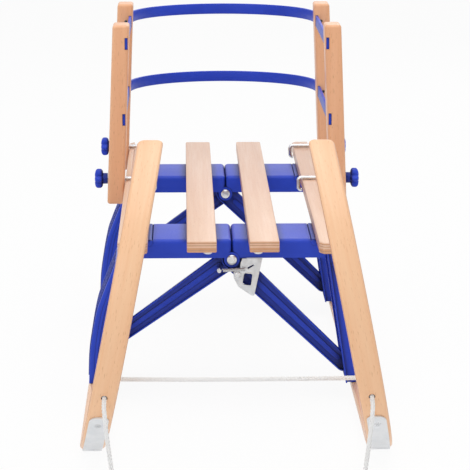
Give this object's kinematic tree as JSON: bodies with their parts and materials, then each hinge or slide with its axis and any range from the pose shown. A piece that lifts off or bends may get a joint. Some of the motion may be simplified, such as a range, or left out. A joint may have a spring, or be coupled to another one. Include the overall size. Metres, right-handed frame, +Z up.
{
  "type": "folding wooden sled",
  "caption": "Folding wooden sled with curled horns, slatted seat, hinged steel crossbars and braces, and a clamp-on backrest.",
  "frame": {"origin": "on the ground under the middle of the sled's length, midway between the runners", "axes": "+Z up, +Y from the horns to the backrest, +X to the right seen from the front"},
  "size_m": [0.3938, 1.2875, 0.4711],
  "materials": {
    "beech": "clear lacquer over bent laminated wood",
    "plywood": "clear lacquer, ply lines on the edges",
    "blue_paint": "smooth blue powder coat",
    "blue_plastic": "moulded",
    "zinc": "bright zinc plate",
    "skid_steel": "galvanised strip",
    "rope": "white braid"
  },
  "bodies": {
    "left_side": {"left_runner": "beech", "left_skid": "skid_steel", "left_skid_screw": "zinc", "left_side_slat": "plywood", "left_front_leg": "blue_paint", "left_rear_leg": "blue_paint", "left_front_hinge_pin": "zinc", "left_rear_hinge_pin": "zinc", "tow_rope": "rope"},
    "left_half": {"left_front_crossbar": "blue_paint", "left_rear_crossbar": "blue_paint", "left_middle_slat": "plywood", "left_slat_stud": "zinc", "front_centre_pin": "zinc", "rear_centre_pin": "zinc"},
    "right_half": {"right_front_crossbar": "blue_paint", "right_rear_crossbar": "blue_paint", "right_middle_slat": "plywood", "right_slat_stud": "zinc"},
    "right_side": {"right_runner": "beech", "right_skid": "skid_steel", "right_skid_screw": "zinc", "right_side_slat": "plywood", "right_front_leg": "blue_paint", "right_rear_leg": "blue_paint", "right_front_hinge_pin": "zinc", "right_rear_hinge_pin": "zinc"},
    "left_braces": {"left_front_brace": "blue_paint", "left_rear_brace": "blue_paint", "spring_pin": "zinc", "latch_spring": "zinc"},
    "right_braces": {"right_front_brace": "blue_paint", "right_rear_brace": "blue_paint", "latch_pin": "zinc"},
    "latch": {"latch_plate": "zinc"},
    "backrest": {"left_front_post": "beech", "right_front_post": "beech", "left_rear_post": "beech", "right_rear_post": "beech", "lower_back_band": "blue_paint", "upper_back_band": "blue_paint", "left_lower_band_screw": "zinc", "right_lower_band_screw": "zinc", "left_upper_band_screw": "zinc", "right_upper_band_screw": "zinc"},
    "left_front_clamp_knob": {"left_front_knob": "blue_plastic"},
    "right_front_clamp_knob": {"right_front_knob": "blue_plastic"},
    "left_rear_clamp_knob": {"left_rear_knob": "blue_plastic"},
    "right_rear_clamp_knob": {"right_rear_knob": "blue_plastic"},
    "left_front_clamp_hook": {"left_front_hook": "zinc"},
    "right_front_clamp_hook": {"right_front_hook": "zinc"},
    "left_rear_clamp_hook": {"left_rear_hook": "zinc"},
    "right_rear_clamp_hook": {"right_rear_hook": "zinc"}
  },
  "joints": [
    {"name": "left_side_hinge", "type": "hinge", "parent": "left_side", "child": "left_half", "pos_m": [-0.11, -0.21325, 0.218], "axis": [0, 1, 0], "range_deg": [-51.5, 0]},
    {"name": "fold", "type": "hinge", "parent": "left_half", "child": "right_half", "pos_m": [0, -0.21325, 0.1945], "axis": [0, 1, 0], "range_deg": [0, 124], "deforming": ["tow_rope", "latch_spring"]},
    {"name": "right_side_hinge", "type": "hinge", "parent": "right_half", "child": "right_side", "pos_m": [0.11, -0.21325, 0.218], "axis": [0, 1, 0], "range_deg": [-51.5, 0]},
    {"name": "left_brace_swing", "type": "hinge", "parent": "left_half", "child": "left_braces", "pos_m": [0, -0.21325, 0.1945], "axis": [0, 1, 0], "range_deg": [0, 35.3]},
    {"name": "right_brace_swing", "type": "hinge", "parent": "right_half", "child": "right_braces", "pos_m": [0, -0.21325, 0.1945], "axis": [0, 1, 0], "range_deg": [-39.2, 0]},
    {"name": "latch_turn", "type": "hinge", "parent": "right_braces", "child": "latch", "pos_m": [0.0077, -0.21325, 0.1745], "axis": [0, 1, 0], "range_deg": [0, 30], "stiffness_Nm_per_rad": 0.06, "springref_deg": -28.65, "deforming": ["latch_spring"]},
    {"name": "backrest_lift", "type": "slide", "parent": "left_side", "child": "backrest", "axis": [0.0385, 0, 0.9993], "range_m": [0, 0.6]},
    {"name": "left_front_knob_turn", "type": "hinge", "parent": "backrest", "child": "left_front_clamp_knob", "pos_m": [-0.19, 0.14525, 0.24105], "axis": [1, 0, 0], "range_deg": [0, 1800]},
    {"name": "right_front_knob_turn", "type": "hinge", "parent": "backrest", "child": "right_front_clamp_knob", "pos_m": [0.19, 0.14525, 0.24105], "axis": [-1, 0, 0], "range_deg": [0, 1800]},
    {"name": "left_rear_knob_turn", "type": "hinge", "parent": "backrest", "child": "left_rear_clamp_knob", "pos_m": [-0.19, 0.43125, 0.24105], "axis": [1, 0, 0], "range_deg": [0, 1800]},
    {"name": "right_rear_knob_turn", "type": "hinge", "parent": "backrest", "child": "right_rear_clamp_knob", "pos_m": [0.19, 0.43125, 0.24105], "axis": [-1, 0, 0], "range_deg": [0, 1800]},
    {"name": "left_front_hook_slide", "type": "slide", "parent": "backrest", "child": "left_front_clamp_hook", "axis": [1, 0, 0], "range_m": [0, 0.005]},
    {"name": "right_front_hook_slide", "type": "slide", "parent": "backrest", "child": "right_front_clamp_hook", "axis": [-1, 0, 0], "range_m": [0, 0.005]},
    {"name": "left_rear_hook_slide", "type": "slide", "parent": "backrest", "child": "left_rear_clamp_hook", "axis": [1, 0, 0], "range_m": [0, 0.005]},
    {"name": "right_rear_hook_slide", "type": "slide", "parent": "backrest", "child": "right_rear_clamp_hook", "axis": [-1, 0, 0], "range_m": [0, 0.005]}
  ],
  "couplings": [
    {"joint": "left_side_hinge", "follows": "fold", "ratio": -0.4153},
    {"joint": "right_side_hinge", "follows": "fold", "ratio": -0.4153},
    {"joint": "left_brace_swing", "follows": "fold", "ratio": 0.2846},
    {"joint": "right_brace_swing", "follows": "fold", "ratio": -0.3161},
    {"joint": "backrest_lift", "follows": "fold", "m_per_rad": 0.2772},
    {"joint": "left_front_hook_slide", "follows": "left_front_knob_turn", "m_per_rad": 0.000159},
    {"joint": "right_front_hook_slide", "follows": "right_front_knob_turn", "m_per_rad": 0.000159},
    {"joint": "left_rear_hook_slide", "follows": "left_rear_knob_turn", "m_per_rad": 0.000159},
    {"joint": "right_rear_hook_slide", "follows": "right_rear_knob_turn", "m_per_rad": 0.000159}
  ]
}
